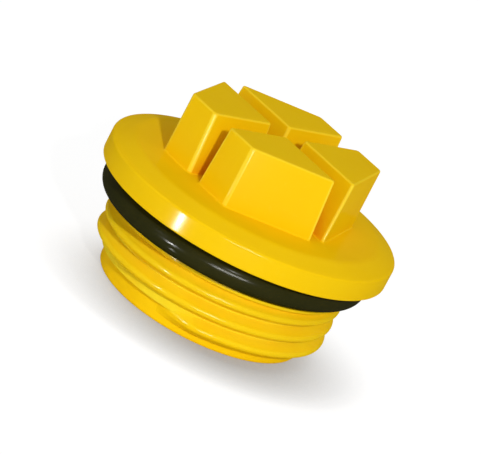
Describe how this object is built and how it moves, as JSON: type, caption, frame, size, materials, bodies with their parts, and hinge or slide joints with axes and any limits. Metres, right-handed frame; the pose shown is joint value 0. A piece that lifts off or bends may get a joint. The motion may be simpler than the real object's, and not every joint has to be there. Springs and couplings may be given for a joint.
{
  "type": "threaded sealing plug",
  "caption": "Yellow moulded sealing plug with a slotted hexagon head, a flange, a black rubber sealing ring, an external thread and a plain hollow pilot end.",
  "frame": {"origin": "centre of the pilot end's rim, which the plug stands on", "axes": "+Z along the plug's axis from the pilot end to the head; X across two opposite corners of the hexagon, along one slot; Y across two opposite flats, along the other slot"},
  "size_m": [0.0328, 0.0328, 0.0212],
  "materials": {
    "body_plastic": "moulded, semi-gloss",
    "ring_rubber": "smooth, slightly oily"
  },
  "bodies": {
    "root": {"plug_body": "body_plastic", "o_ring": "ring_rubber"}
  },
  "joints": []
}
